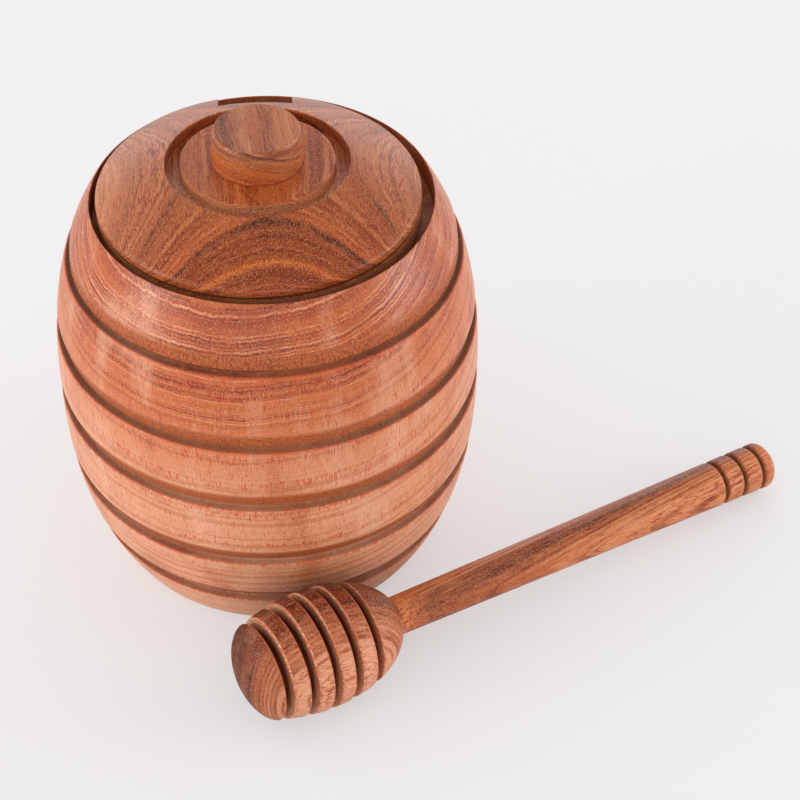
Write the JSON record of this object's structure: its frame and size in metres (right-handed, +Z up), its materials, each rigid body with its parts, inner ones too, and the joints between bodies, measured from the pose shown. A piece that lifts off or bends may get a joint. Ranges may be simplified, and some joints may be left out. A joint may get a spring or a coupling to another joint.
{
  "type": "honey pot with lid and dipper",
  "caption": "Barrel-shaped turned wooden honey pot with a loose domed lid, round knob and dipper notch, and a grooved honey dipper lying beside it",
  "frame": {"origin": "centre of the pot's flat foot, on the table", "axes": "+Z up along the pot's axis; the lid's notch faces +Y; the dipper lies in front of the pot, at -Y, and its handle runs towards +X"},
  "size_m": [0.1785, 0.1288, 0.1168],
  "materials": {
    "barrel_wood": "satin oiled",
    "lid_wood": "satin oiled",
    "knob_wood": "satin oiled",
    "head_wood": "satin oiled",
    "handle_wood": "satin oiled"
  },
  "bodies": {
    "pot": {"pot_body": "barrel_wood"},
    "lid": {"lid": "lid_wood", "lid_knob": "knob_wood"},
    "dipper": {"dipper_head": "head_wood", "dipper_handle": "handle_wood"}
  },
  "joints": [
    {"name": "lid_lift", "type": "slide", "parent": "pot", "child": "lid", "axis": [0, 0, 1], "range_m": [0, 0.06]},
    {"name": "dipper_lift", "type": "slide", "parent": "pot", "child": "dipper", "axis": [0.3254, -0.6278, 0.7071], "range_m": [0, 0.15]}
  ]
}
